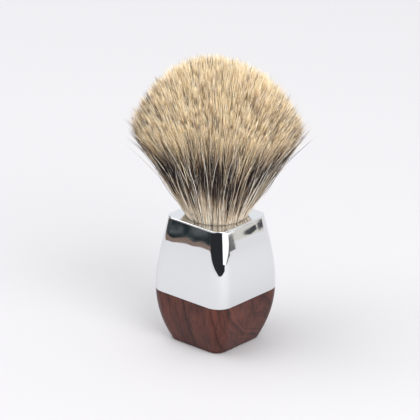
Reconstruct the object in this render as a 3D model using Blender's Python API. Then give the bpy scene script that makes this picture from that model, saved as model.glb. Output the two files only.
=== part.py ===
"""A shaving brush: a square barrel handle, chromed metal over a rosewood base, with a badger knot.

Metres, +Z up. The origin is the middle of the face that it stands on. The handle's four sides face
along X and Y. Run it with blender --background --python part.py, or from Blender's text editor.
"""

import math

import bmesh
import bpy
import numpy as np

MM = 0.001

# Driving dimensions of the handle
HANDLE_HEIGHT = 49.5 * MM
SEAM_HEIGHT = 20.5 * MM  # where the metal meets the wood
HANDLE_WIDTHS = np.array([24.9, 33.4, 35.3, 32.55, 27.5]) * MM  # at equal steps from base to top
CORNER_RADII = np.array([4.4, 6.25, 4.2]) * MM  # at the base, half way up and at the top
FOOT_STEP = 0.3 * MM  # how far the rubber foot stands out of the wood
BASE_EDGE = 0.6 * MM  # rounding of the wood's bottom edge
TOP_EDGE = 0.25 * MM  # rounding of the metal's top edge
GAP = 0.2 * MM  # between faces that meet

# Driving dimensions of the knot
BORE_RADIUS = 11.5 * MM
SOCKET_DEPTH = 14.0 * MM
LOFT = 61.0 * MM  # free length of the hair above the handle
HAIR_FLARE = 0.63  # how fast the hair spreads where it leaves the bore
HAIR_CURVE = -1.2  # how that spread eases off with height, per metre
DOME_RADIUS = 34.4 * MM  # of the ball that the tips are trimmed to
DOME_MIDDLE = 16.0 * MM  # height of that ball's centre above the handle
RIM_ROUNDING = 1.0 * MM  # how softly the spreading side turns into the dome

# Driving dimensions of the joint between metal and wood
SCREW_RADIUS = 2.5 * MM
SCREW_LENGTH = 16.0 * MM
HEAD_RADIUS = 4.7 * MM
HEAD_HEIGHT = 3.6 * MM
WASHER_RADIUS = 5.2 * MM
WASHER_THICKNESS = 1.0 * MM
LOCK_WASHER_THICKNESS = 1.2 * MM
INSERT_RADIUS = 3.8 * MM
INSERT_LENGTH = 12.0 * MM
TENON_WIDTH = 22.0 * MM
TENON_CORNER = 3.0 * MM
TENON_HEIGHT = 4.2 * MM
PIN_RADIUS = 1.5 * MM
PIN_CHAMFER = 0.3 * MM
PIN_HOLE_IN_METAL = 2.5 * MM  # depth
PIN_HOLE_IN_WOOD = 4.0 * MM
PIN_SPACING = 19.5 * MM  # between the two pins, across the handle's diagonal
FOOT_RADIUS = 9.5 * MM
FOOT_THICKNESS = 1.5 * MM

# Heights worked out from those
SOCKET_FLOOR = HANDLE_HEIGHT - SOCKET_DEPTH
COUNTERBORE_FLOOR = SOCKET_FLOOR - HEAD_HEIGHT - WASHER_THICKNESS - LOCK_WASHER_THICKNESS - 4 * GAP
WOOD_SHOULDER = SEAM_HEIGHT - GAP / 2
METAL_RIM = SEAM_HEIGHT + GAP / 2
TENON_TOP = WOOD_SHOULDER + TENON_HEIGHT
POCKET_TOP = TENON_TOP + 2 * GAP
FERRULE_RADIUS = BORE_RADIUS - 0.9 * MM
FERRULE_WALL = 0.7 * MM
SPACER_THICKNESS = 1.5 * MM
GLUE_THICKNESS = 0.5 * MM
SPACER_BASE = SOCKET_FLOOR + GAP
GLUE_BASE = SPACER_BASE + SPACER_THICKNESS + GAP
FERRULE_BASE = GLUE_BASE + GLUE_THICKNESS + GAP
FERRULE_TOP = HANDLE_HEIGHT - 2.0 * MM
PLUG_RADIUS = FERRULE_RADIUS - FERRULE_WALL - GAP
PLUG_BASE = FERRULE_BASE + FERRULE_WALL + GAP
PLUG_EDGE = PLUG_BASE + 2.6 * MM  # height of the resin at the ferrule's wall
PLUG_BUMP = 3.4 * MM  # how far the resin rises in the middle
BINDING_RADIUS = 0.42 * MM  # of the thread
BINDING_TURNS = 3
BINDING_PITCH = 2 * BINDING_RADIUS + 0.1 * MM
WAIST_RADIUS = PLUG_RADIUS - 2 * BINDING_RADIUS - 2 * GAP  # of the hair inside the thread

AROUND = 48  # sides of a turned piece
CORNER_STEPS = 7  # sides of each rounded corner
BODY_STEPS = 9  # rings along each half of the handle
HAIR_RINGS = 20  # rings of the free hair


def material(name, colour, roughness, metallic=0.0):
    made = bpy.data.materials.new(name)
    made.use_nodes = True
    shader = made.node_tree.nodes["Principled BSDF"]
    shader.inputs["Base Color"].default_value = (*colour, 1.0)
    shader.inputs["Roughness"].default_value = roughness
    shader.inputs["Metallic"].default_value = metallic
    return made


def add_object(name, points, faces, finish, smooth=True):
    """One closed object, with its faces turned outwards."""
    mesh = bpy.data.meshes.new(name)
    mesh.from_pydata([tuple(p) for p in points], [], faces)
    work = bmesh.new()
    work.from_mesh(mesh)
    bmesh.ops.recalc_face_normals(work, faces=work.faces)
    work.to_mesh(mesh)
    work.free()
    mesh.materials.append(finish)
    made = bpy.data.objects.new(name, mesh)
    bpy.context.collection.objects.link(made)
    if smooth:
        mesh.shade_smooth()
        mesh.set_sharp_from_angle(angle=math.radians(35))
    return made


def stack(name, rings, finish):
    """Skins rings of equal length, bottom to top, and closes both ends. A ring is a list of points."""
    count = len(rings[0])
    points = np.concatenate(rings)
    faces = []
    for level in range(len(rings) - 1):
        low, high = level * count, (level + 1) * count
        for i in range(count):
            j = (i + 1) % count
            faces.append((low + i, low + j, high + j, high + i))
    faces.append(tuple(reversed(range(count))))
    faces.append(tuple(range((len(rings) - 1) * count, len(rings) * count)))
    return add_object(name, points, faces, finish)


def turned(name, profile, finish, steps=AROUND):
    """A solid of revolution about Z. The profile is (radius, height) pairs, with both ends on the axis."""
    angles = np.arange(steps) * (2 * math.pi / steps)
    points = [(0.0, 0.0, profile[0][1])]
    for radius, height in profile[1:-1]:
        points += [(radius * math.cos(a), radius * math.sin(a), height) for a in angles]
    points.append((0.0, 0.0, profile[-1][1]))
    last = len(points) - 1
    rows = len(profile) - 2
    faces = []
    for i in range(steps):
        j = (i + 1) % steps
        faces.append((0, 1 + j, 1 + i))
        for row in range(rows - 1):
            low, high = 1 + row * steps, 1 + (row + 1) * steps
            faces.append((low + i, low + j, high + j, high + i))
        top = 1 + (rows - 1) * steps
        faces.append((top + i, top + j, last))
    return add_object(name, points, faces, finish)


def ring(name, outline, finish, steps=AROUND):
    """A ring about Z. The outline is a closed loop of (radius, height) pairs that stays off the axis."""
    angles = np.arange(steps) * (2 * math.pi / steps)
    points = [(r * math.cos(a), r * math.sin(a), z) for r, z in outline for a in angles]
    faces = []
    for row in range(len(outline)):
        near, far = row * steps, (row + 1) % len(outline) * steps
        for i in range(steps):
            j = (i + 1) % steps
            faces.append((near + i, near + j, far + j, far + i))
    return add_object(name, points, faces, finish)


def tube(name, inner, outer, low, high, finish, steps=AROUND):
    return ring(name, [(outer, low), (outer, high), (inner, high), (inner, low)], finish, steps)


def rod(name, radius, low, high, finish, steps=AROUND, chamfer=0.0):
    profile = [(0, low), (radius - chamfer, low), (radius, low + chamfer)]
    profile += [(radius, high - chamfer), (radius - chamfer, high), (0, high)]
    if not chamfer:
        profile = [(0, low), (radius, low), (radius, high), (0, high)]
    return turned(name, profile, finish, steps)


def boolean(target, other, operation="DIFFERENCE"):
    """Cuts or joins with a helper, which stays in the file as a wire shape."""
    step = target.modifiers.new(operation.lower() + "_" + other.name, "BOOLEAN")
    step.object = other
    step.operation = operation
    step.solver = "EXACT"
    other.hide_render = True
    other.display_type = "WIRE"
    return target


def half_width(height):
    """Half the handle's width at a height: the one quartic through the five widths."""
    stations = np.linspace(0, HANDLE_HEIGHT, len(HANDLE_WIDTHS))
    return float(np.polyval(np.polyfit(stations, HANDLE_WIDTHS / 2, 4), height))


def corner_radius(height):
    stations = np.linspace(0, HANDLE_HEIGHT, len(CORNER_RADII))
    return float(np.polyval(np.polyfit(stations, CORNER_RADII, 2), height))


def rounded_square(half, radius, height):
    """A square's outline with round corners, anticlockwise from the +X side."""
    points = []
    for quarter in range(4):
        turn = quarter * math.pi / 2
        for step in range(CORNER_STEPS + 1):
            angle = math.pi / 2 * step / CORNER_STEPS
            x = half - radius + radius * math.cos(angle)
            y = half - radius + radius * math.sin(angle)
            spun = (x * math.cos(turn) - y * math.sin(turn), x * math.sin(turn) + y * math.cos(turn))
            points.append((*spun, height))
    return np.array(points)


def handle_ring(height, inset=0.0):
    return rounded_square(half_width(height) - inset, corner_radius(height) - inset, height)


def handle_rings(low, high, low_edge=0.0, high_edge=0.0):
    """Rings of the handle's outside between two heights, with either edge rounded by a quarter circle."""
    rings = []
    for angle in (0, 30, 60):
        if low_edge:
            share = math.radians(angle)
            ring = handle_ring(low + low_edge, low_edge * (1 - math.sin(share)))
            ring[:, 2] = low + low_edge * (1 - math.cos(share))
            rings.append(ring)
    rings += [handle_ring(z) for z in np.linspace(low + low_edge, high - high_edge, BODY_STEPS)]
    for angle in (60, 30, 0):
        if high_edge:
            share = math.radians(angle)
            ring = handle_ring(high - high_edge, high_edge * (1 - math.sin(share)))
            ring[:, 2] = high - high_edge * (1 - math.cos(share))
            rings.append(ring)
    return rings


def pin_places():
    reach = PIN_SPACING / 2 / math.sqrt(2)
    return {"alignment_pin_left": (-reach, -reach), "alignment_pin_right": (reach, reach)}


def square_block(name, width, low, high, finish):
    rings = [rounded_square(width / 2, TENON_CORNER, z) for z in (low, high)]
    return stack(name, rings, finish)


def pin_holes(name, low, high, finish):
    """Two round cutters, one for each alignment pin."""
    cutters = []
    for pin, (x, y) in pin_places().items():
        cutter = rod(name + pin[9:], PIN_RADIUS + GAP, low, high, finish, steps=16)
        cutter.location = (x, y, 0)
        cutters.append(cutter)
    return cutters


def chrome_body(finish):
    """The metal half of the handle: the knot's socket above, the tenon's pocket below, and a web between."""
    body = stack("chrome_body", handle_rings(METAL_RIM, HANDLE_HEIGHT, high_edge=TOP_EDGE), finish)
    beyond = 2 * MM
    boolean(body, rod("socket_cutter", BORE_RADIUS, SOCKET_FLOOR, HANDLE_HEIGHT + beyond, finish))
    head_room = WASHER_RADIUS + 0.5 * MM
    boolean(body, rod("head_cutter", head_room, COUNTERBORE_FLOOR, SOCKET_FLOOR + beyond, finish))
    shank_room = SCREW_RADIUS + 0.25 * MM
    low, high = POCKET_TOP - beyond, COUNTERBORE_FLOOR + beyond
    boolean(body, rod("shank_cutter", shank_room, low, high, finish, steps=24))
    pocket_width = TENON_WIDTH + 2 * GAP
    boolean(body, square_block("pocket_cutter", pocket_width, METAL_RIM - beyond, POCKET_TOP, finish))
    for cutter in pin_holes("metal_hole", POCKET_TOP - beyond, POCKET_TOP + PIN_HOLE_IN_METAL, finish):
        boolean(body, cutter)
    return body


def rosewood_base(finish):
    """The wooden half: the outside, a square tenon on top, the insert's hole and the foot's recess."""
    base = stack("rosewood_base", handle_rings(FOOT_STEP, WOOD_SHOULDER, low_edge=BASE_EDGE), finish)
    overlap = 1 * MM
    tenon = square_block("tenon_shape", TENON_WIDTH, WOOD_SHOULDER - overlap, TENON_TOP, finish)
    boolean(base, tenon, "UNION")
    hole_floor = TENON_TOP - INSERT_LENGTH - 2 * MM
    hole_radius = INSERT_RADIUS + GAP
    boolean(base, rod("insert_cutter", hole_radius, hole_floor, TENON_TOP + overlap, finish, steps=32))
    recess_radius, recess_top = FOOT_RADIUS + GAP, FOOT_THICKNESS + GAP
    boolean(base, rod("foot_cutter", recess_radius, FOOT_STEP - overlap, recess_top, finish))
    for cutter in pin_holes("wood_hole", TENON_TOP - PIN_HOLE_IN_WOOD, TENON_TOP + overlap, finish):
        boolean(base, cutter)
    return base


def rubber_foot(finish):
    return rod("rubber_foot", FOOT_RADIUS, 0.0, FOOT_THICKNESS, finish, chamfer=0.25 * MM)


def joint_screw(finish):
    """A pan-head machine screw with a hexagon recess, put in from the socket before the knot is set."""
    seat = COUNTERBORE_FLOOR + WASHER_THICKNESS + LOCK_WASHER_THICKNESS + 3 * GAP
    crown = seat + HEAD_HEIGHT
    tip = seat - SCREW_LENGTH
    shoulder = HEAD_RADIUS - 0.8 * MM
    profile = [(0, tip), (SCREW_RADIUS - 0.5 * MM, tip), (SCREW_RADIUS, tip + 0.5 * MM), (SCREW_RADIUS, seat)]
    profile += [(HEAD_RADIUS, seat), (HEAD_RADIUS, crown - 1.2 * MM)]
    profile += [(HEAD_RADIUS - 0.25 * MM, crown - 0.5 * MM), (shoulder, crown), (0, crown)]
    screw = turned("joint_screw", profile, finish, steps=24)
    boolean(screw, rod("hexagon_cutter", 1.9 * MM, crown - 2.2 * MM, crown + 1 * MM, finish, steps=6))
    return screw


def plain_washer(finish):
    base = COUNTERBORE_FLOOR + GAP
    hole = SCREW_RADIUS + 0.2 * MM
    return tube("plain_washer", hole, WASHER_RADIUS, base, base + WASHER_THICKNESS, finish, steps=32)


def lock_washer(finish):
    """A spring washer: one turn of square wire, cut through at one side."""
    base = COUNTERBORE_FLOOR + WASHER_THICKNESS + 2 * GAP
    hole = SCREW_RADIUS + 0.2 * MM
    rim = HEAD_RADIUS - 0.3 * MM
    washer = tube("lock_washer", hole, rim, base, base + LOCK_WASHER_THICKNESS, finish, steps=32)
    bpy.ops.mesh.primitive_cube_add(size=1.0)
    slit = bpy.context.object
    slit.name = "slit_cutter"
    slit.scale = (3 * MM, 0.6 * MM, 4 * LOCK_WASHER_THICKNESS)
    slit.location = ((hole + HEAD_RADIUS) / 2, 0, base + LOCK_WASHER_THICKNESS / 2)
    slit.rotation_euler = (math.radians(25), 0, 0)
    return boolean(washer, slit)


def threaded_insert(finish):
    """A brass sleeve with three grooves that bite in the wood."""
    top = TENON_TOP - GAP
    bottom = top - INSERT_LENGTH
    hole = SCREW_RADIUS + GAP
    groove = 0.4 * MM
    outline = [(INSERT_RADIUS - groove, bottom), (INSERT_RADIUS, bottom + groove)]
    pitch = (INSERT_LENGTH - 2 * groove) / 4
    for number in range(1, 4):
        height = bottom + groove + number * pitch
        outline += [(INSERT_RADIUS, height - 2 * groove), (INSERT_RADIUS - groove, height - groove)]
        outline += [(INSERT_RADIUS - groove, height + groove), (INSERT_RADIUS, height + 2 * groove)]
    outline += [(INSERT_RADIUS, top), (hole, top), (hole, bottom)]
    return ring("threaded_insert", outline, finish, steps=32)


def alignment_pins(finish):
    """Two steel dowels, half in the wood and half in the metal, that keep the two squares in line."""
    low = TENON_TOP - PIN_HOLE_IN_WOOD + GAP
    high = POCKET_TOP + PIN_HOLE_IN_METAL - GAP
    for name, (x, y) in pin_places().items():
        pin = rod(name, PIN_RADIUS, low, high, finish, steps=16, chamfer=PIN_CHAMFER)
        pin.location = (x, y, 0)


def loft_spacer(finish):
    """The fibre disc under the knot that sets how far the hair stands out. It is pierced over the screw."""
    radius = BORE_RADIUS - 2 * GAP
    return tube("loft_spacer", 2.5 * MM, radius, SPACER_BASE, SPACER_BASE + SPACER_THICKNESS, finish)


def knot_adhesive(finish):
    """The epoxy that holds the ferrule in the socket: a thin cup, open above."""
    outer = BORE_RADIUS - GAP
    inner = FERRULE_RADIUS + GAP
    rim = FERRULE_TOP - 1.5 * MM
    floor = GLUE_BASE + GLUE_THICKNESS
    profile = [(0, GLUE_BASE), (outer, GLUE_BASE), (outer, rim), (inner, rim), (inner, floor), (0, floor)]
    return turned("knot_adhesive", profile, finish)


def knot_ferrule(finish):
    """The moulded cup that the hair is set in."""
    inner = FERRULE_RADIUS - FERRULE_WALL
    floor = FERRULE_BASE + FERRULE_WALL
    profile = [(0, FERRULE_BASE), (FERRULE_RADIUS - 0.5 * MM, FERRULE_BASE)]
    profile += [(FERRULE_RADIUS, FERRULE_BASE + 0.5 * MM), (FERRULE_RADIUS, FERRULE_TOP)]
    profile += [(inner, FERRULE_TOP), (inner, floor), (0, floor)]
    return turned("knot_ferrule", profile, finish)


def bump_height(radius):
    """Height of the resin's top at a radius: flat under the thread and domed inside it."""
    return PLUG_EDGE + PLUG_BUMP * (1 - min(radius / WAIST_RADIUS, 1) ** 2)


def knot_plug(finish):
    """The resin that the hair's roots are cast in, with the bump that rises in the middle of the hair."""
    profile = [(0, PLUG_BASE), (PLUG_RADIUS, PLUG_BASE), (PLUG_RADIUS, PLUG_EDGE)]
    profile += [(r, bump_height(r)) for r in np.linspace(WAIST_RADIUS, 0, 8)]
    return turned("knot_plug", profile, finish)


def knot_binding(finish):
    """The waxed thread wound round the roots before they are cast: one helix."""
    start = PLUG_EDGE + BINDING_RADIUS + GAP
    turn_radius = PLUG_RADIUS - BINDING_RADIUS - GAP
    steps = 28
    line = bpy.data.curves.new("knot_binding", "CURVE")
    line.dimensions = "3D"
    line.bevel_depth = BINDING_RADIUS
    line.bevel_resolution = 2
    line.use_fill_caps = True
    spline = line.splines.new("POLY")
    count = BINDING_TURNS * steps + 1
    spline.points.add(count - 1)
    for index, point in enumerate(spline.points):
        angle = 2 * math.pi * index / steps
        height = start + BINDING_PITCH * index / steps
        point.co = (turn_radius * math.cos(angle), turn_radius * math.sin(angle), height, 1.0)
    line.materials.append(finish)
    made = bpy.data.objects.new("knot_binding", line)
    bpy.context.collection.objects.link(made)
    return made


def hair_radius(above):
    """Outside radius of the hair at a height above the handle: the lesser of its spreading side and its
    dome, with the turn between them rounded."""
    side = BORE_RADIUS - GAP + HAIR_FLARE * above + HAIR_CURVE * above**2
    share = max(above - DOME_MIDDLE, 0.0) / (LOFT - DOME_MIDDLE)
    dome = DOME_RADIUS * math.sqrt(max(1 - share**2, 0.0))
    return -RIM_ROUNDING * math.log(math.exp(-side / RIM_ROUNDING) + math.exp(-dome / RIM_ROUNDING))


def hair_bundle(finish):
    """The badger hair as one soft solid: roots, waist inside the thread, flare and trimmed dome."""
    profile = [(r, bump_height(r) + 2 * GAP) for r in np.linspace(0, WAIST_RADIUS, 5)]
    thread_top = PLUG_EDGE + BINDING_PITCH * BINDING_TURNS + 2 * BINDING_RADIUS + 2 * GAP
    profile += [(WAIST_RADIUS, thread_top), (PLUG_RADIUS, thread_top + 0.9 * MM), (PLUG_RADIUS, FERRULE_TOP)]
    profile += [(BORE_RADIUS - GAP, HANDLE_HEIGHT - 0.6 * MM)]
    rises = [LOFT * math.sin(share) for share in np.linspace(0, math.pi / 2, HAIR_RINGS)[:-1]]
    profile += [(hair_radius(rise), HANDLE_HEIGHT + rise) for rise in rises]
    profile += [(0, HANDLE_HEIGHT + LOFT)]
    return turned("hair_bundle", profile, finish)


def main():
    for old in list(bpy.data.objects):
        bpy.data.objects.remove(old)
    steel = material("zinc_plated_steel", (0.55, 0.56, 0.58), 0.35, 1.0)
    chrome_body(material("polished_chrome", (0.86, 0.87, 0.88), 0.04, 1.0))
    rosewood_base(material("oiled_rosewood", (0.13, 0.035, 0.022), 0.28))
    rubber_foot(material("black_rubber", (0.03, 0.03, 0.03), 0.85))
    joint_screw(steel)
    plain_washer(steel)
    lock_washer(material("spring_steel", (0.30, 0.31, 0.33), 0.4, 1.0))
    threaded_insert(material("turned_brass", (0.72, 0.52, 0.22), 0.3, 1.0))
    alignment_pins(steel)
    loft_spacer(material("red_fibre", (0.30, 0.06, 0.04), 0.8))
    knot_adhesive(material("epoxy", (0.70, 0.62, 0.42), 0.25))
    knot_ferrule(material("moulded_plastic", (0.02, 0.02, 0.025), 0.4))
    knot_plug(material("cast_resin", (0.35, 0.20, 0.08), 0.2))
    knot_binding(material("waxed_thread", (0.75, 0.68, 0.52), 0.7))
    hair_bundle(material("badger_hair", (0.62, 0.50, 0.34), 0.6))


main()
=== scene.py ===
# A shaving brush: chromed and rosewood handle, badger knot. Metres, +Z up, on the floor at the origin
import math

import bpy
import numpy as np
from mathutils import Matrix, Vector


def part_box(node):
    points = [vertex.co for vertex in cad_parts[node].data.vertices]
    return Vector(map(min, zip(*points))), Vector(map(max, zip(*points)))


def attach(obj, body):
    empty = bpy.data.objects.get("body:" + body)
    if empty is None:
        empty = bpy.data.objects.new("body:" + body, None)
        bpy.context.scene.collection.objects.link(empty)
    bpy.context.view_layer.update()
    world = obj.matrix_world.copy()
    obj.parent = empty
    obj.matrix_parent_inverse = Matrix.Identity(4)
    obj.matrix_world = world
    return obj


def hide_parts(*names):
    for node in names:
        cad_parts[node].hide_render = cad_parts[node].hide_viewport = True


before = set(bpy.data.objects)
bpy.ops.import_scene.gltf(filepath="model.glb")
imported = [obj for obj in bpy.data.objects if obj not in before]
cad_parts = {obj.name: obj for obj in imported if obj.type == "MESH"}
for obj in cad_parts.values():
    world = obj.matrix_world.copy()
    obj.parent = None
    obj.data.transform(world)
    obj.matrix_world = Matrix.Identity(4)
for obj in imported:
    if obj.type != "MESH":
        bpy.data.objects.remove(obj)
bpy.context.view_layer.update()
mm = 0.001
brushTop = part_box("hair_bundle")[1][2]
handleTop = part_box("chrome_body")[1][2]
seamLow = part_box("rosewood_base")[0][2]


class Wire:  # one output socket that takes part in arithmetic
    def __init__(self, tree, socket):
        self.tree = tree
        self.socket = socket

    def maths(self, operation, first, second=None):
        step = self.tree.nodes.new("ShaderNodeMath")
        step.operation = operation
        for place, value in enumerate((first, second)):
            if isinstance(value, Wire):
                self.tree.links.new(value.socket, step.inputs[place])
            elif value is not None:
                step.inputs[place].default_value = value
        return Wire(self.tree, step.outputs[0])

    def __add__(self, other):
        return self.maths("ADD", self, other)

    def __radd__(self, other):
        return self.maths("ADD", other, self)

    def __sub__(self, other):
        return self.maths("SUBTRACT", self, other)

    def __rsub__(self, other):
        return self.maths("SUBTRACT", other, self)

    def __mul__(self, other):
        return self.maths("MULTIPLY", self, other)

    def __rmul__(self, other):
        return self.maths("MULTIPLY", other, self)

    def __truediv__(self, other):
        return self.maths("DIVIDE", self, other)

    def __rtruediv__(self, other):
        return self.maths("DIVIDE", other, self)

    def __gt__(self, other):
        return self.maths("GREATER_THAN", self, other)

    def __lt__(self, other):
        return self.maths("LESS_THAN", self, other)


class Finish:  # one material and its nodes
    def __init__(self, name, **fixed):
        self.material = bpy.data.materials.new(name)
        self.material.use_nodes = True
        self.tree = self.material.node_tree
        self.shader = self.tree.nodes["Principled BSDF"]
        for socket, value in fixed.items():
            self.shader.inputs[socket.replace("_", " ")].default_value = value

    def node(self, kind, settings=None, sockets=None, output=0):
        made = self.tree.nodes.new("ShaderNode" + kind)
        for key, value in (settings or {}).items():
            if key == "stops":
                self.setStops(made.color_ramp, value)
            else:
                setattr(made, key, value)
        for key, value in (sockets or {}).items():
            self.join(value, made.inputs[key])
        return Wire(self.tree, made.outputs[output])

    def setStops(self, ramp, stops):
        while len(ramp.elements) < len(stops):
            ramp.elements.new(0.5)
        for element, (place, colour) in zip(ramp.elements, stops, strict=True):
            element.position = place
            element.color = (*colour, 1.0) if isinstance(colour, tuple) else (colour, colour, colour, 1.0)

    def join(self, value, socket):
        if isinstance(value, Wire):
            self.tree.links.new(value.socket, socket)
        elif isinstance(value, tuple) and len(value) == 3 and socket.type == "RGBA":
            socket.default_value = (*value, 1.0)
        else:
            socket.default_value = value

    def feed(self, socket, value):
        self.join(value, self.shader.inputs[socket])

    def place(self, turn=(0, 0, 0), scale=(1, 1, 1)):  # object coordinates, turned and stretched
        spot = self.node("TexCoord", output=3)
        angles = tuple(math.radians(a) for a in turn)
        return self.node("Mapping", None, {"Vector": spot, "Rotation": angles, "Scale": scale})

    def noise(self, vector, scale, detail=3.0, rough=0.5, warp=0.0):
        return self.node("TexNoise", None, {"Vector": vector, "Scale": scale, "Detail": detail,
                                            "Roughness": rough, "Distortion": warp})

    def ramp(self, value, stops):
        return self.node("ValToRGB", {"stops": stops}, {"Fac": value})

    def blend(self, share, first, second, kind="MIX"):
        return self.node("Mix", {"data_type": "RGBA", "blend_type": kind}, {0: share, 6: first, 7: second}, 2)

    def bump(self, height, distance, strength=1.0):
        sockets = {"Height": height, "Distance": distance, "Strength": strength}
        self.feed("Normal", self.node("Bump", None, sockets))


def meshPiece(name, points, corners, starts, finish, uv=None):
    # corners are the faces' vertices one after another, and starts says where each face's first one is
    mesh = bpy.data.meshes.new(name)
    mesh.vertices.add(len(points))
    mesh.vertices.foreach_set("co", np.ascontiguousarray(points, dtype=np.float32).ravel())
    mesh.loops.add(len(corners))
    mesh.loops.foreach_set("vertex_index", np.ascontiguousarray(corners, dtype=np.int32))
    mesh.polygons.add(len(starts))
    mesh.polygons.foreach_set("loop_start", np.ascontiguousarray(starts, dtype=np.int32))
    mesh.update(calc_edges=True)
    if uv is not None:
        layer = mesh.uv_layers.new(name="OFBake")
        layer.uv.foreach_set("vector", np.ascontiguousarray(uv, dtype=np.float32).ravel())
    mesh.validate()
    mesh.shade_smooth()
    mesh.materials.append(finish)
    piece = bpy.data.objects.new(name, mesh)
    bpy.context.scene.collection.objects.link(piece)
    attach(piece, "root")
    return piece


def skin(name, rings, finish, joined):
    # rings is an array of (rings, points round, xyz): faces join neighbours, and the ends meet or close on
    # poles
    count, around = rings.shape[:2]
    low = np.arange(count if joined else count - 1)
    high = (low + 1) % count
    here = np.arange(around)
    there = (here + 1) % around
    quads = np.stack(np.broadcast_arrays(low[:, None] * around + here, low[:, None] * around + there,
                                         high[:, None] * around + there, high[:, None] * around + here), -1)
    points = rings.reshape(-1, 3)
    corners = quads.reshape(-1)
    starts = np.arange(quads.size // 4) * 4
    if not joined:
        points = np.concatenate([points, rings[:1].mean(1), rings[-1:].mean(1)])
        pole = len(points) - 2
        cap = np.stack([np.full(around, pole), there, here], -1)
        last = (count - 1) * around
        lid = np.stack([np.full(around, pole + 1), here + last, there + last], -1)
        corners = np.concatenate([corners, cap.reshape(-1), lid.reshape(-1)])
        starts = np.concatenate([starts, quads.size + np.arange(2 * around) * 3])
    return meshPiece(name, points, corners, starts, finish)


handle = {
    "height": handleTop,
    "widths": np.array([24.9, 33.4, 35.3, 32.55, 27.5]) * mm,  # at equal steps from the base to the top
    "corners": np.array([4.4, 6.25, 4.2]) * mm,  # corner radii at the base, half way and the top
    "cornerSteps": 18,
    "support": 0.12 * mm,  # distance of the extra edges that keep the flats flat
    "wallRings": 70,
}


def curveThrough(values, height):  # the polynomial through values at equal steps up the handle
    stations = np.linspace(0, handle["height"], len(values))
    return np.polyval(np.polyfit(stations, values, len(values) - 1), height)


def outline(half, corner, height):
    # a square with round corners; where the corner radius is the half width it is an evenly spaced circle
    half, corner, height = (np.asarray(v, float)[:, None] for v in (half, corner, height))
    steps = handle["cornerSteps"]
    share = np.linspace(0, 1, steps + 1)
    arc = np.concatenate([[0], share, [1]]) * math.pi / 2
    along = np.concatenate([[-handle["support"]], 0 * share, [handle["support"]]])
    x = half - corner + corner * np.cos(arc) - np.maximum(along, 0)
    y = half - corner + corner * np.sin(arc) + np.minimum(along, 0)
    even = (np.arange(len(arc)) + 0.5) / len(arc) * math.pi / 2
    isRound = np.abs(half - corner) < 1e-7
    x = np.where(isRound, half * np.cos(even), x)
    y = np.where(isRound, half * np.sin(even), y)
    quarters = [(x, y), (-y, x), (-x, -y), (y, -x)]
    xy = np.concatenate([np.stack(q, -1) for q in quarters], 1)
    return np.concatenate([xy, np.broadcast_to(height[..., None], xy.shape[:2] + (1,))], -1)


def wallPath(low, high, lowEdge, highEdge):
    # (half width, corner radius, height) up the outside, with each edge rounded by a quarter circle
    turn = np.linspace(0, math.pi / 2, 7)
    z = np.linspace(low + lowEdge, high - highEdge, handle["wallRings"])
    half, corner = curveThrough(handle["widths"] / 2, z), curveThrough(handle["corners"], z)
    foot = lowEdge * (1 - np.sin(turn))
    head = highEdge * (1 - np.cos(turn))
    path = [np.stack([half[0] - foot, corner[0] - foot, low + lowEdge * (1 - np.cos(turn))], -1)[:-1]]
    path += [np.stack([half, corner, z], -1)]
    path += [np.stack([half[-1] - head, corner[-1] - head, high - highEdge * (1 - np.sin(turn))], -1)[1:]]
    return np.concatenate(path)


def softTurn(before, at, after, size):
    # replaces a sharp bend of a path by points close on each side of it, and one on the bend's round
    before, at, after = (np.asarray(p, float) for p in (before, at, after))
    back = (before - at) / max(np.abs(before - at).max(), 1e-9)
    on = (after - at) / max(np.abs(after - at).max(), 1e-9)
    share = np.linspace(0, math.pi / 2, 5)[:, None]
    curve = at + back * size * (1 - np.sin(share)) + on * size * (1 - np.cos(share))
    return [at + back * size * 1.6, *curve, at + on * size * 1.6]


def softPath(points, size):
    path = [np.asarray(points[0], float)]
    for before, at, after in zip(points, points[1:], points[2:]):
        path += softTurn(before, at, after, size)
    return path + [np.asarray(points[-1], float)]


chrome = {
    "topEdge": 0.35 * mm,
    "rim": 0.12 * mm,  # rounding of the bore's mouth and the inner edges
    "bore": 11.5 * mm,
    "socketDepth": 14.0 * mm,
    "headRoom": (5.7 * mm, 28.7 * mm),  # radius and floor height of the screw head's recess
    "shank": 2.75 * mm,
    "pocket": (11.2 * mm, 3.0 * mm, 25.0 * mm),  # half width, corner and ceiling height
    "colour": (0.768, 0.780, 0.795),
    "polish": 0.012,
    "smudge": 0.03,
}


def chromeFinish():
    look = Finish("mirrorChrome", Metallic=1.0)
    spot = look.place()
    streak = look.noise(look.place((0, 0, 20), (1, 1, 0.15)), 900, 2)
    film = look.ramp(look.noise(spot, 140, 4, 0.6), [(0.45, 0.0), (0.75, 1.0)])
    look.feed("Base Color", look.blend(film * 0.12, chrome["colour"], (0.78, 0.79, 0.80)))
    look.feed("Roughness", chrome["polish"] + film * chrome["smudge"] + streak * 0.012)
    ripple = look.noise(spot, 90, 1)
    look.bump(ripple + streak * 0.002, 0.00001, 0.5)
    return look.material


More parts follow.
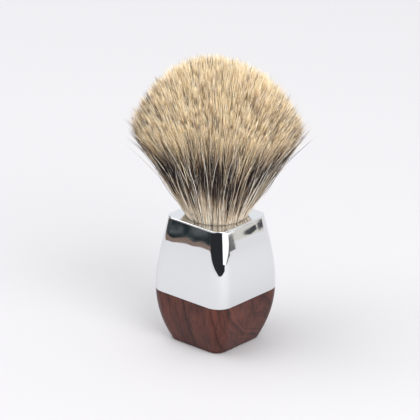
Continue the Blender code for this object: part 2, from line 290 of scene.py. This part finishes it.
def makeChromeBody():
    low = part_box("chrome_body")[0][2]
    wall = wallPath(low, handleTop, chrome["rim"], chrome["topEdge"])
    flat, bore, rim = wall[-1], chrome["bore"], chrome["rim"]
    socketFloor = handleTop - chrome["socketDepth"]
    headRadius, headFloor = chrome["headRoom"]
    shank = chrome["shank"]
    half, corner, ceiling = chrome["pocket"]
    inside = [flat, (bore, bore, handleTop), (bore, bore, socketFloor), (headRadius, headRadius, socketFloor)]
    inside += [(headRadius, headRadius, headFloor), (shank, shank, headFloor), (shank, shank, ceiling)]
    inside += [(half, corner, ceiling), (half, corner, low), wall[0]]
    path = np.array([*wall, flat - (rim, rim, 0), *softPath(inside, rim)[1:-1], wall[0] - (rim, rim, 0)])
    isRound = np.abs(path[:, 0] - path[:, 1]) < 4 * rim
    path[isRound, 1] = path[isRound, 0]
    piece = skin("chromeBody", outline(*path.T), chromeFinish(), True)
    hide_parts("chrome_body")
    print("chromed half", len(piece.data.polygons), "faces")


wood = {
    "edge": 0.7 * mm,
    "shoulderEdge": 0.12 * mm,
    "tenon": (11.0 * mm, 3.0 * mm),
    "insertHole": (4.0 * mm, 12.0 * mm),  # radius, and depth under the tenon's top
    "footHole": (9.7 * mm, 1.7 * mm),  # radius and ceiling height
    "hub": 0.4 * mm,  # radius at which a flat bottom meets its pole
    "layers": (1.0, 0.32, 0.15),  # direction across the growth layers
    "layerSize": 2.2 * mm,
    "heart": (0.034, 0.0090, 0.0075),
    "pale": (0.146, 0.042, 0.029),
    "dark": (0.026, 0.013, 0.010),
}


def rosewoodFinish():
    look = Finish("polishedRosewood", Specular_IOR_Level=0.18, Coat_Weight=0.1, Coat_Roughness=0.12)
    spot = look.place()
    drift = look.noise(look.place((12, 0, 0), (1, 1, 0.35)), 95, 2)
    across = look.node("VectorMath", {"operation": "DOT_PRODUCT"}, {0: spot, 1: wood["layers"]}, 1)
    depth = across / wood["layerSize"] + drift * 1.8
    layers = look.node("TexNoise", {"noise_dimensions": "1D"}, {"W": depth, "Scale": 1.0, "Detail": 3.0,
                                                               "Roughness": 0.62})
    lines = look.node("TexNoise", {"noise_dimensions": "1D"}, {"W": depth, "Scale": 5.0, "Detail": 3.0})
    broken = look.ramp(look.noise(look.place((6, 0, 0), (1, 1, 0.22)), 420, 2), [(0.45, 0.0), (0.6, 1.0)])
    figure = look.noise(look.place((28, 0, 6), (1, 1, 0.5)), 150, 3, 0.6, 0.6)
    fine = look.noise(look.place((6, 0, 0), (1, 1, 0.05)), 2400, 3, 0.6)
    light = look.ramp(layers * 0.65 + figure * 0.35, [(0.40, 0.0), (0.60, 1.0)])
    body = look.blend(light, wood["heart"], wood["pale"])
    body = look.blend(look.ramp(layers, [(0.52, 0.0), (0.62, 1.0)]) * 0.55, body, wood["dark"])
    body = look.blend(look.ramp(lines, [(0.50, 0.0), (0.59, 1.0)]) * broken * 0.9, body, wood["dark"])
    pores = look.ramp(fine, [(0.56, 0.0), (0.68, 1.0)])
    body = look.blend(pores * 0.7, body, wood["dark"])
    look.feed("Base Color", body)
    look.feed("Roughness", 0.34 + fine * 0.12 + pores * 0.1)
    look.bump(fine - pores * 0.6, 0.00002, 0.35)
    return look.material


def makeRosewoodBase():
    low, high = seamLow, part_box("chrome_body")[0][2] - 0.2 * mm
    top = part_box("rosewood_base")[1][2]
    wall = wallPath(low, high, wood["edge"], wood["shoulderEdge"])
    edge = wood["shoulderEdge"]
    footRadius, footCeiling = wood["footHole"]
    tenonHalf, tenonCorner = wood["tenon"]
    holeRadius, holeDepth = wood["insertHole"]
    hub = wood["hub"]
    under = [(hub, hub, footCeiling), (footRadius, footRadius, footCeiling)]
    under += [(footRadius, footRadius, low), wall[0]]
    over = [wall[-1], (tenonHalf, tenonCorner, high), (tenonHalf, tenonCorner, top)]
    over += [(holeRadius, holeRadius, top), (holeRadius, holeRadius, top - holeDepth)]
    over += [(hub, hub, top - holeDepth)]
    path = [*softPath(under, edge)[:-1], wall[0] - (edge, edge, 0), *wall, wall[-1] - (edge, edge, 0),
            *softPath(over, edge)[1:]]
    path = np.array(path)
    isRound = np.abs(path[:, 0] - path[:, 1]) < 4 * edge
    path[isRound, 1] = path[isRound, 0]
    piece = skin("rosewoodBase", outline(*path.T), rosewoodFinish(), False)
    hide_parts("rosewood_base")
    print("rosewood half", len(piece.data.polygons), "faces")


# in a group of hairs, ownShade is the share that don't take their tuft's shade and ownPale the share of those
# that are surely pale; pull draws hairs to their tuft's tip, wander is in millimetres, thick multiplies the
# knot's own, and band is how uneven the dark band is
knot = {
    "seed": 7,
    "bore": 11.2 * mm,  # radius of the hair where it leaves the handle
    "root": 3.0 * mm,  # how far the hairs start below the handle's top
    "facing": 40.95,  # direction of the fan's wide side, in degrees from +X
    "flareWide": 0.47,  # spread per height across the wide side
    "flareDeep": 0.25,
    "easeWide": 3.0,  # how the spread changes with height, per metre
    "easeDeep": 2.4,
    "domeWide": 33.7 * mm,  # half axes of the dome that the tips are trimmed to
    "domeDeep": 27.5 * mm,
    "domeMiddle": 16.0 * mm,
    "domePower": 2.2,  # 2 is an ellipse, and more is fuller
    "lean": 0.004,  # sideways drift per height
    "skew": 0.10,  # how much lower the dome's shoulder is on one side, per distance from its middle
    "skewReach": 7.0 * mm,  # how far the skew goes on over the middle
    "outer": {"hairs": 8200, "pieces": 3, "tufts": 2600, "steps": 10, "wander": 1.35, "pull": 0.5,
              "lift": 0.6 * mm, "ownShade": 0.35, "ownPale": 0.02, "thick": 0.95, "band": 1.7 * mm},
    "guard": {"hairs": 1300, "pieces": 1, "tufts": 1300, "steps": 10, "wander": 2.3, "pull": 0.0,
              "lift": 0.0, "ownShade": 1.0, "ownPale": 0.2, "thick": 1.45, "band": 2.0 * mm},
    "crown": {"hairs": 25500, "pieces": 5, "tufts": 4800, "steps": 6, "wander": 0.6, "pull": 0.7,
              "lift": 0.5 * mm, "ownShade": 0.4, "ownPale": 0.25, "thick": 1.0, "band": 3.0 * mm},
    "stray": {"hairs": 260, "pieces": 1, "tufts": 260, "steps": 14, "wander": 2.3, "pull": 0.0,
              "lift": 0.0, "ownShade": 1.0, "ownPale": 0.2, "thick": 0.9, "band": 4.0 * mm},
    "rim": 0.14,  # share of the radius that the outer hairs stand in
    "cut": 9.0 * mm,  # how far the outer and guard hairs may end below the dome
    "tuftLean": 0.9 * mm,  # how far a tuft's tip wanders sideways
    "crownReach": 17.0 * mm,  # length of the crown hairs, which start inside the undercoat
    "thick": 0.070 * mm,  # half a hair's thickness
    "columns": 128,  # shades of hair
    "dark": 0.10,  # the first columns are dark all along, and the last ones pale all along
    "pale": 0.84,
    "paleTip": 5.0 * mm,
    "darkStart": 11.0 * mm,  # all measured from the tip
    "darkEnd": 25.5 * mm,
    "paleRoot": 30.5 * mm,
    "fade": 2.4 * mm,  # how far the brown reaches beyond each end of the dark band
    "sideShift": 7.5 * mm,  # how much nearer the tips the band is at the fan's ends
    "bandWave": 0.9 * mm,  # slow wave of the band round the knot
    "mapLength": 76.0 * mm,
    "mapMargin": 13.0 * mm,
    "tipColour": (0.98, 0.83, 0.55),
    "midColour": (0.97, 0.785, 0.515),
    "brownColour": (0.40, 0.25, 0.135),
    "darkColour": (0.040, 0.026, 0.021),
    "rootColour": (0.88, 0.77, 0.61),
    "paleColour": (0.99, 0.93, 0.82),
    "shades": [(0.0, (0.38, 0.28, 0.19)), (0.2, (0.87, 0.80, 0.71)), (0.5, (1.0, 1.0, 1.0)),
               (1.0, (1.18, 1.18, 1.20))],
}
chance = np.random.default_rng(knot["seed"])
domeHeight = brushTop - handleTop - knot["domeMiddle"]


def depth(angle):  # 0 on the fan's wide side and 1 on its deep side
    return np.sin(angle - math.radians(knot["facing"])) ** 2


def domeReach(angle):  # half axis of the dome
    return knot["domeWide"] + (knot["domeDeep"] - knot["domeWide"]) * depth(angle)


def spread(angle, rise):
    # radius of the outermost hair at a height above the handle: bore + flare * rise + ease * rise squared,
    # where flare and ease go from their wide to their deep value with the squared sine of the angle
    deep = depth(angle)
    flare = knot["flareWide"] + (knot["flareDeep"] - knot["flareWide"]) * deep
    ease = knot["easeWide"] + (knot["easeDeep"] - knot["easeWide"]) * deep
    return knot["bore"] + flare * rise + ease * rise * np.abs(rise)


def tipRise(angle, share):
    # height at which a hair meets the dome, found by halving; the dome is where the radius over its half axis
    # and the height above its middle over its height, each to the dome's power, add up to 1, and the skew
    # lowers it on one side
    wide = domeReach(angle)
    low = np.zeros_like(share)
    high = np.full_like(share, knot["domeMiddle"] + domeHeight)
    for _ in range(30):
        middle = (low + high) / 2
        up = np.maximum(middle - knot["domeMiddle"], 0) / domeHeight
        outside = (share * spread(angle, middle) / wide) ** knot["domePower"] + up ** knot["domePower"] > 1
        high = np.where(outside, middle, high)
        low = np.where(outside, low, middle)
    aside = share * spread(angle, low) * np.cos(angle - math.radians(knot["facing"]))
    level = 1 - (aside / knot["domeWide"]) ** 2
    return low - knot["skew"] * aside.clip(-knot["skewReach"], None) * level.clip(0, 1)


def hairPlaces(angle, share, rise):  # points of a hair at heights above the handle
    radius = share * spread(angle, rise)
    side = math.radians(knot["facing"])
    x = radius * np.cos(angle) + knot["lean"] * rise * math.cos(side)
    y = radius * np.sin(angle) + knot["lean"] * rise * math.sin(side)
    return np.stack([x, y, handleTop + rise], -1)


def inTufts(angle, share, count):
    # the nearest of some guide hairs for each hair, seen from above with the knot as a unit disc
    guideAngle = chance.uniform(0, 2 * math.pi, count)
    guideShare = np.sqrt(chance.uniform(share.min() ** 2, 1, count))
    flat = np.stack([share * np.cos(angle), share * np.sin(angle)], -1)
    guides = np.stack([guideShare * np.cos(guideAngle), guideShare * np.sin(guideAngle)], -1)
    nearest = np.concatenate([np.argmin(((part[:, None] - guides) ** 2).sum(-1), 1)
                              for part in np.array_split(flat, 1 + len(flat) // 1000)])
    return nearest, hairPlaces(guideAngle, guideShare, tipRise(guideAngle, guideShare))


def growHairs(angle, share, start, tip, nearest, ends, setting):
    # centre lines (hairs, steps + 1, xyz): the rise goes from start to tip, the drift grows with its square,
    # and the pull towards the tuft's own tip grows with its cube
    along = np.linspace(0, 1, setting["steps"] + 1) ** 0.9
    rise = start[:, None] + (tip - start)[:, None] * along
    line = hairPlaces(angle[:, None], share[:, None], rise)
    scatter = chance.normal(0, 1, (len(ends), 3)) * (knot["tuftLean"], knot["tuftLean"], setting["lift"])
    drawn = (ends[nearest] - line[:, -1]) * setting["pull"] + scatter[nearest]
    drawn *= (0.45 + 0.55 * share**2)[:, None]
    count, wander = len(angle), setting["wander"] * mm
    drift = chance.normal(0, 1, (count, 3)) * (wander, wander, wander * 0.5)
    bend = chance.normal(0, 1, (count, 3)) * wander * 0.35
    reach = (rise / np.maximum(tip, 1e-6)[:, None]).clip(0, 1)[..., None]
    line = line + drawn[:, None] * reach**3 + drift[:, None] * reach**2
    line = line + bend[:, None] * np.sin(math.pi * reach)
    taper = np.interp(along, [0, 0.5, 0.8, 1], [0.85, 1.0, 0.8, 0.25])
    radius = knot["thick"] * setting["thick"] * taper * chance.uniform(0.7, 1.35, count)[:, None]
    return line, radius


def hairMesh(name, line, radius, column, offset, finish):
    # three-sided tubes round the centre lines, with a flat root and a pointed tip
    count, rings = line.shape[:2]
    body = rings - 1
    path = np.gradient(line, axis=1)
    path /= np.linalg.norm(path, axis=-1, keepdims=True)
    side = np.cross(path, chance.normal(0, 1, (count, 1, 3)))
    side /= np.linalg.norm(side, axis=-1, keepdims=True)
    other = np.cross(path, side)
    turns = np.arange(3) * 2 * math.pi / 3
    tube = line[:, :body, None] + radius[:, :body, None, None] * (
        np.cos(turns)[:, None] * side[:, :body, None] + np.sin(turns)[:, None] * other[:, :body, None])
    points = np.concatenate([tube.reshape(count, -1, 3), line[:, -1:]], 1)
    each = points.shape[1]
    ring = np.arange(body - 1)[:, None] * 3
    near, far = np.arange(3), (np.arange(3) + 1) % 3
    quads = np.stack([ring + near, ring + far, ring + 3 + far, ring + 3 + near], -1).reshape(-1)
    last = (body - 1) * 3
    spikes = np.stack([last + near, last + far, np.full(3, each - 1)], -1).reshape(-1)
    shape = np.concatenate([quads, spikes, [2, 1, 0]])
    sizes = np.concatenate([np.full((body - 1) * 3, 4), np.full(4, 3)])
    first = np.arange(count)[:, None]
    corners = (shape + first * each).reshape(-1)
    starts = (np.concatenate([[0], np.cumsum(sizes)[:-1]]) + first * len(shape)).reshape(-1)
    # the map: one column for each shade, and the distance from the tip up the column
    length = np.linalg.norm(np.diff(line, axis=1), axis=-1)
    left = np.concatenate([np.cumsum(length[:, ::-1], 1)[:, ::-1], np.zeros((count, 1))], 1)
    level = ((left + offset[:, None] + knot["mapMargin"]) / knot["mapLength"]).clip(0.004, 0.996)
    level = np.concatenate([np.repeat(level[:, :body], 3, 1), level[:, -1:]], 1)
    sides = np.tile(np.stack([near, near + 1, near + 1, near], -1).reshape(-1), body - 1)
    spike = np.stack([near, near + 1, near + 0.5], -1).reshape(-1)
    across = np.concatenate([sides, spike, [2, 1, 0]])
    u = (column[:, None] + 0.15 + 0.7 * across[None] / 3) / knot["columns"]
    uv = np.stack([u, level[:, shape]], -1)
    piece = meshPiece(name, points.reshape(-1, 3), corners, starts, finish, uv.reshape(-1, 2))
    return piece


def hairFinish():
    look = Finish("badgerHair", Roughness=0.5, Specular_IOR_Level=0.4)
    place = look.node("UVMap", {"uv_map": "OFBake"})
    parts = look.node("SeparateXYZ", None, {"Vector": place})
    u, v = Wire(look.tree, parts.socket.node.outputs[0]), Wire(look.tree, parts.socket.node.outputs[1])
    column = parts.maths("FLOOR", u * knot["columns"])
    tone = look.node("TexWhiteNoise", {"noise_dimensions": "1D"}, {"W": column + 0.5})
    kind = column / knot["columns"]

    def stop(distance):
        return (distance + knot["mapMargin"]) / knot["mapLength"]

    banded = look.ramp(v, [
        (stop(0), knot["tipColour"]), (stop(knot["paleTip"]), knot["midColour"]),
        (stop(knot["darkStart"] - knot["fade"]), knot["brownColour"]),
        (stop(knot["darkStart"]), knot["darkColour"]), (stop(knot["darkEnd"]), knot["darkColour"]),
        (stop(knot["darkEnd"] + knot["fade"]), knot["brownColour"]),
        (stop(knot["paleRoot"]), knot["rootColour"])])
    colour = look.blend(kind > knot["pale"], banded, knot["paleColour"])
    colour = look.blend(kind < knot["dark"], colour, knot["darkColour"])
    shade = look.ramp(tone, knot["shades"])
    look.feed("Base Color", look.blend(1.0, colour, shade, "MULTIPLY"))
    return look.material


undercoat = {
    "around": 96,
    "rings": 22,
    "bunch": 0.8,  # below 1 puts more rings near the top
    "inset": 0.9,  # share of the hairs' spread and of the dome
    "sink": 6.0 * mm,  # how far the top is below the dome's
    "shrink": 1.5 * mm,  # how far the side is inside the dome's share
    "hub": 0.3 * mm,  # radius left at the top
    "rootShare": 0.86,  # narrowing below the handle's mouth
    "paintedShadeReach": 45 * mm,  # height above the handle that the shades are spread over
    # painted shade: the hairs' own pattern by height (root, dark band, brown above), made far darker than the
    # hairs because the knot's inside lies in deep shadow
    "shades": [(0.0, (0.14, 0.10, 0.07)), (0.2, (0.03, 0.021, 0.017)), (0.55, (0.040, 0.026, 0.018)),
               (1.0, (0.55, 0.36, 0.19))],
    "streak": (0.03, 0.02, 0.015),
}


def undercoatFinish():
    look = Finish("undercoat", Roughness=0.8)
    spot = look.node("SeparateXYZ", None, {"Vector": look.place()}, 2)
    streaks = look.noise(look.place((0, 0, 0), (1, 1, 0.06)), 1400, 3)
    low, high = handleTop, handleTop + undercoat["paintedShadeReach"]
    # painted shade of the knot's inside, spread by height above the handle
    paintedShadeTint = look.ramp((spot - low) / (high - low), undercoat["shades"])
    look.feed("Base Color", look.blend(streaks * 0.8, paintedShadeTint, undercoat["streak"]))
    look.bump(streaks, 0.0003, 0.8)
    return look.material


def makeUndercoat():
    # the dense inside of the knot, drawn in from the hairs: at each height, the lesser of a share of their
    # spread and a share of their dome
    angle = np.linspace(0, 2 * math.pi, undercoat["around"] + 1)[:-1]
    inset, sink, power = undercoat["inset"], undercoat["sink"], knot["domePower"]
    rings = []
    for share in np.linspace(0, 1, undercoat["rings"]) ** undercoat["bunch"] * 0.999:
        rise = share * (knot["domeMiddle"] + domeHeight - sink)
        up = max(rise - knot["domeMiddle"], 0) / (domeHeight - sink)
        dome = domeReach(angle) * inset * max(1 - up**power, 0) ** (1 / power) - undercoat["shrink"]
        reach = np.minimum(inset * spread(angle, rise), dome)
        reach = np.maximum(reach, undercoat["hub"])
        rings.append(hairPlaces(angle, reach / spread(angle, rise), np.full_like(angle, rise)))
    low = rings[0].copy()
    low[:, 2] = handleTop - knot["root"]
    low[:, :2] *= undercoat["rootShare"]
    piece = skin("undercoat", np.array([low, *rings]), undercoatFinish(), False)
    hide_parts("hair_bundle")


def makeHairs(name, angle, share, start, tip, setting, finish):
    nearest, ends = inTufts(angle, share, setting["tufts"])
    line, radius = growHairs(angle, share, start, tip, nearest, ends, setting)
    count = setting["hairs"]
    columns, pale = knot["columns"], math.ceil(knot["columns"] * knot["pale"]) + 1
    isPale = chance.uniform(0, 1, count) < setting["ownPale"]
    ownColumn = np.where(isPale, chance.integers(pale, columns, count), chance.integers(0, columns, count))
    tuftColumn = chance.integers(0, pale + 4, setting["tufts"])
    column = np.where(chance.uniform(0, 1, count) < setting["ownShade"], ownColumn, tuftColumn[nearest])
    atEnds = np.cos(angle - math.radians(knot["facing"])) ** 6 * share**2
    # the band's offset along a hair: its own and its tuft's chance, the shift at the fan's ends, and a slow
    # wave that is sin(5 angle + 1) + 0.8 sin(11 angle + 2) + 0.6 sin(23 angle)
    offset = chance.normal(0, 0.6, count) + chance.normal(0, 1.3, setting["tufts"])[nearest]
    broad = np.sin(5 * angle + 1) + 0.8 * np.sin(11 * angle + 2) + 0.6 * np.sin(23 * angle)
    offset = offset * setting["band"] * (0.35 + 0.85 * share**2)
    offset = offset + knot["sideShift"] * atEnds + broad * knot["bandWave"]
    for number, part in enumerate(np.array_split(np.argsort(angle), setting["pieces"])):
        pieceName = f"{name}Hairs{number + 1}"
        hairMesh(pieceName, line[part], radius[part], column[part], offset[part], finish)
    print(name, "hairs", count)


def makeKnot():
    finish = hairFinish()
    makeUndercoat()
    setting = knot["outer"]  # the knot's outside, from the root up
    count = setting["hairs"]
    angle = chance.uniform(0, 2 * math.pi, count)
    share = 1 - knot["rim"] * chance.uniform(0, 1, count) ** 1.3
    # hairs of the rim end at many heights, and the outermost ones lowest
    cut = chance.uniform(0, 1, count) ** 1.8 * knot["cut"] * ((share - (1 - knot["rim"])) / knot["rim"])
    tip = tipRise(angle, share) + chance.normal(0, 0.7, count) * mm - cut
    start = np.full(count, -knot["root"])
    makeHairs("outer", angle, share, start, tip, setting, finish)
    setting = knot["guard"]  # coarser hairs among them
    count = setting["hairs"]
    angle = chance.uniform(0, 2 * math.pi, count)
    share = chance.uniform(0.93, 1.01, count)
    tip = tipRise(angle, np.minimum(share, 1)) - chance.uniform(0, 1, count) ** 1.5 * knot["cut"]
    start = np.full(count, -knot["root"])
    makeHairs("guard", angle, share, start, tip, setting, finish)
    setting = knot["crown"]  # the ends of the inner hairs, which make the dome
    count = setting["hairs"]
    angle = chance.uniform(0, 2 * math.pi, count)
    share = np.sqrt(chance.uniform(0, 0.97, count))
    tip = tipRise(angle, share) - np.abs(chance.normal(0, 1.1, count)) * mm + 0.7 * mm
    start = tip - knot["crownReach"] * chance.uniform(0.9, 1.1, count)
    makeHairs("crown", angle, share, start, tip, setting, finish)
    setting = knot["stray"]  # loose hairs that stand off
    count = setting["hairs"]
    angle = chance.uniform(0, 2 * math.pi, count)
    share = chance.uniform(0.88, 1.03, count)
    tip = tipRise(angle, np.minimum(share, 1)) + chance.uniform(-16, 2.0, count) * mm
    start = np.full(count, -knot["root"])
    makeHairs("stray", angle, share, start, tip, setting, finish)


def metalFinish(name, colour, rough, scale):
    look = Finish(name, Metallic=1.0)
    spot = look.place((0, 0, 0), (1, 1, 4))
    turning = look.noise(spot, scale, 3, 0.6)
    stain = look.ramp(look.noise(look.place(), 180, 4), [(0.4, 0.0), (0.7, 1.0)])
    look.feed("Base Color", look.blend(stain * 0.35, colour, tuple(c * 0.55 for c in colour)))
    look.feed("Roughness", rough + turning * 0.16 + stain * 0.1)
    look.bump(turning, 0.00002, 0.5)
    return look.material


def softFinish(name, colour, dark, rough, scale, stretch=(1, 1, 1), depth=0.00004):
    look = Finish(name)
    grain = look.noise(look.place((0, 0, 0), stretch), scale, 4, 0.65)
    broad = look.noise(look.place(), 220, 2)
    look.feed("Base Color", look.blend(look.ramp(grain, [(0.35, 0.0), (0.7, 1.0)]) * 0.7, colour, dark))
    look.feed("Roughness", rough + broad * 0.15)
    look.bump(grain, depth, 0.6)
    return look.material


def makeHiddenFinishes():
    steel = metalFinish("zincSteel", (0.62, 0.63, 0.66), 0.24, 1600)
    spring = metalFinish("springSteel", (0.30, 0.31, 0.34), 0.3, 2200)
    brass = metalFinish("turnedBrass", (0.74, 0.53, 0.22), 0.2, 2000)
    rubber = softFinish("blackRubber", (0.035, 0.035, 0.036), (0.015, 0.015, 0.015), 0.7, 2400)
    fibre = softFinish("redFibre", (0.34, 0.07, 0.045), (0.20, 0.035, 0.025), 0.7, 1800, (1, 1, 3))
    epoxy = softFinish("epoxy", (0.72, 0.63, 0.42), (0.60, 0.50, 0.30), 0.15, 500)
    plastic = softFinish("mouldedPlastic", (0.025, 0.025, 0.028), (0.015, 0.015, 0.016), 0.35, 3000,
                         depth=0.00001)
    resin = softFinish("castResin", (0.38, 0.22, 0.09), (0.24, 0.12, 0.045), 0.1, 400)
    thread = softFinish("waxedThread", (0.78, 0.70, 0.54), (0.48, 0.40, 0.28), 0.5, 3500, (1, 1, 0.4))
    finishes = {
        "joint_screw": steel, "plain_washer": steel, "alignment_pin_left": steel,
        "alignment_pin_right": steel, "lock_washer": spring, "threaded_insert": brass, "rubber_foot": rubber,
        "loft_spacer": fibre, "knot_adhesive": epoxy, "knot_ferrule": plastic, "knot_plug": resin,
        "knot_binding": thread,
    }
    for node, finish in finishes.items():
        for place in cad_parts[node].material_slots:
            place.material = finish
    print("inner pieces", len(finishes))


studio = {
    "floor": (0.560, 0.546, 0.553),
    "floorSide": 4.0,
    "sky": (0.90, 0.92, 0.95),
    "skyStrength": 1.04,
    "key": {"place": (1.18, -0.40, 1.09), "size": 1.2, "power": 17.4},
    "fill": {"place": (-0.85, -0.79, 1.9), "size": 2.2, "power": 26.8},
    "panelSteps": 12,
}
# what the polished metal mirrors: upright panels, each with its colour, its strength, how much paler it is
# in places, and a row of (bearing from -Y towards +X in degrees, distance, height of foot, height of top)
panels = {
    "darkCurtain": ((0.022, 0.031, 0.035), 1.0, 0.10, [
        (-105, 0.235, 0, 0.2), (-93, 0.255, 0, 0.2), (-75, 0.305, 0, 0.2), (-62, 0.36, 0, 0.2),
        (-50, 0.44, 0, 0.2), (-38.5, 0.58, 0, 0.2), (-35, 0.62, 0, 0.2), (-30, 0.85, 0, 0.3)]),
    "nightCurtain": ((0.022, 0.024, 0.027), 1.0, 0.012, [
        (-34, 0.66, 0, 0.2), (-26, 1.0, 0, 0.3), (5, 2.4, 0, 0.8), (25, 1.4, 0, 0.5), (40, 0.72, 0, 0.3),
        (60, 0.64, 0, 0.3), (84, 0.80, 0, 0.3)]),
    "brownSkirting": ((0.25, 0.18, 0.145), 1.0, 0.02, [
        (-95, 0.24, 0, 0.004), (-75, 0.29, 0, 0.004), (-62, 0.345, 0, 0.006), (-50, 0.42, 0, 0.008),
        (-38.4, 0.50, 0, 0.009), (-38.0, 0.49, 0, 0.007), (-37.6, 0.53, 0, 0.0085), (-37.2, 0.56, 0, 0.010),
        (-36.8, 0.55, 0, 0.0065), (-36.4, 0.585, 0, 0.009), (-36, 0.57, 0, 0.007), (-33, 0.64, 0, 0.010),
        (-25, 0.98, 0, 0.012)]),
    "window": ((1.0, 1.0, 1.0), 1.35, 0.0, [
        (72, 0.58, 0.044, 0.35), (82, 0.56, 0.033, 0.35), (93.5, 0.56, 0.0185, 0.35),
        (101.4, 0.56, 0.019, 0.35), (111.5, 0.56, 0.011, 0.35), (114.7, 0.52, 0.0108, 0.35),
        (122.4, 0.406, 0.0122, 0.3), (130, 0.323, 0.0156, 0.3), (132.45, 0.318, 0.0195, 0.3)]),
    "greyCurtain": ((0.17, 0.165, 0.16), 1.0, 0.0, [
        (96, 0.90, 0, 0.2), (99.9, 0.79, 0, 0.2), (111.5, 0.58, 0, 0.2), (122.4, 0.42, 0, 0.2),
        (130.7, 0.33, 0, 0.2), (132.65, 0.37, 0, 0.2), (132.85, 0.42, 0.001, 0.2),
        (133.05, 0.44, 0.008, 0.2)]),
    "warmWall": ((0.80, 0.77, 0.71), 1.0, 0.02, [
        (132.95, 0.455, 0, 0.3), (150, 0.46, 0, 0.3), (165, 0.5, 0, 0.3)]),
    "shelfLeft": ((0.05, 0.05, 0.055), 1.0, 0.03, [
        (133.7, 0.42, 0.006, 0.0085), (134.2, 0.42, 0.0045, 0.0095), (134.7, 0.42, 0.007, 0.0105)]),
    "shelfRight": ((0.07, 0.07, 0.08), 1.0, 0.03, [
        (134.8, 0.42, 0.005, 0.0105), (135.1, 0.42, 0.007, 0.012), (135.5, 0.42, 0.006, 0.013)]),
}


def stageSheet(name, points, faces, colour, strength=None, haze=0.0):
    mesh = bpy.data.meshes.new(name)
    mesh.from_pydata(points, [], faces)
    look = Finish(name)
    if strength is None:
        look.feed("Base Color", colour)
        look.feed("Roughness", 0.75)
    else:
        cloud = look.ramp(look.noise(look.place(), 70, 2), [(0.40, 0.0), (0.62, 1.0)])
        look.feed("Base Color", (0.0, 0.0, 0.0))
        look.feed("Emission Color", look.blend(cloud, colour, tuple(c + haze for c in colour)))
        look.feed("Emission Strength", strength)
        look.feed("Specular IOR Level", 0.0)
    mesh.materials.append(look.material)
    sheet = bpy.data.objects.new(name, mesh)
    bpy.context.scene.collection.objects.link(sheet)
    return sheet


def panel(name, colour, strength, haze, row):
    # an upright sheet along the row's points, which only polished surfaces see
    steps = studio["panelSteps"] * (len(row) - 1) + 1
    places = np.linspace(0, len(row) - 1, steps)
    bearing, radius, low, high = [np.interp(places, np.arange(len(row)), part) for part in zip(*row)]
    bearing = np.radians(bearing)
    x, y = radius * np.sin(bearing), -radius * np.cos(bearing)
    points = np.concatenate([np.stack([x, y, low], -1), np.stack([x, y, high], -1)])
    faces = [(i, i + 1, i + 1 + steps, i + steps) for i in range(steps - 1)]
    sheet = stageSheet(name, points.tolist(), faces, colour, strength, haze)
    for ray in ("camera", "diffuse", "transmission", "volume_scatter", "shadow"):
        setattr(sheet, "visible_" + ray, False)


def makeStudio():
    side = studio["floorSide"]
    corners = [(-side, -side, 0), (side, -side, 0), (side, side, 0), (-side, side, 0)]
    stageSheet("floor", corners, [(0, 1, 2, 3)], studio["floor"])
    world = bpy.data.worlds.new("studio")
    world.use_nodes = True
    sky = world.node_tree.nodes["Background"]
    sky.inputs["Color"].default_value = (*studio["sky"], 1.0)
    sky.inputs["Strength"].default_value = studio["skyStrength"]
    bpy.context.scene.world = world
    for name in ("key", "fill"):
        setting = studio[name]
        lamp = bpy.data.lights.new(name, "AREA")
        lamp.shape = "DISK"
        lamp.size = setting["size"]
        lamp.energy = setting["power"]
        light = bpy.data.objects.new(name, lamp)
        spot = Vector(setting["place"])
        light.matrix_world = Matrix.Translation(spot) @ (-spot).to_track_quat("-Z", "Y").to_matrix().to_4x4()
        bpy.context.scene.collection.objects.link(light)
    for name, setting in panels.items():
        panel(name, *setting)
    bpy.context.scene.view_settings.view_transform = "Standard"
    print("studio panels", len(panels))


view = {
    "azimuth": 40.95,
    "elevation": 22.86,
    "distance": 1.0471,
    "lens": 240.0,
    "aimHeight": 51.2 * mm,
    "aimSide": -2.4 * mm,
    "roll": 0.63,
}


def makeCamera():
    around, up = math.radians(view["azimuth"]), math.radians(view["elevation"])
    back = Vector((math.sin(around) * math.cos(up), -math.cos(around) * math.cos(up), math.sin(up)))
    right = Vector((math.cos(around), math.sin(around), 0))
    place = Vector((0, 0, handleTop / 2)) + back * view["distance"]
    aim = Vector((0, 0, view["aimHeight"])) + right * view["aimSide"]
    turn = (aim - place).to_track_quat("-Z", "Y").to_matrix().to_4x4()
    lens = bpy.data.cameras.new("camera")
    lens.lens = view["lens"]
    lens.sensor_width = 36.0
    lens.clip_end = 50.0
    camera = bpy.data.objects.new("camera", lens)
    roll = Matrix.Rotation(math.radians(view["roll"]), 4, "Z")
    camera.matrix_world = Matrix.Translation(place) @ turn @ roll
    bpy.context.scene.collection.objects.link(camera)
    bpy.context.scene.camera = camera


makeChromeBody()
makeRosewoodBase()
makeKnot()
makeHiddenFinishes()
makeStudio()
makeCamera()
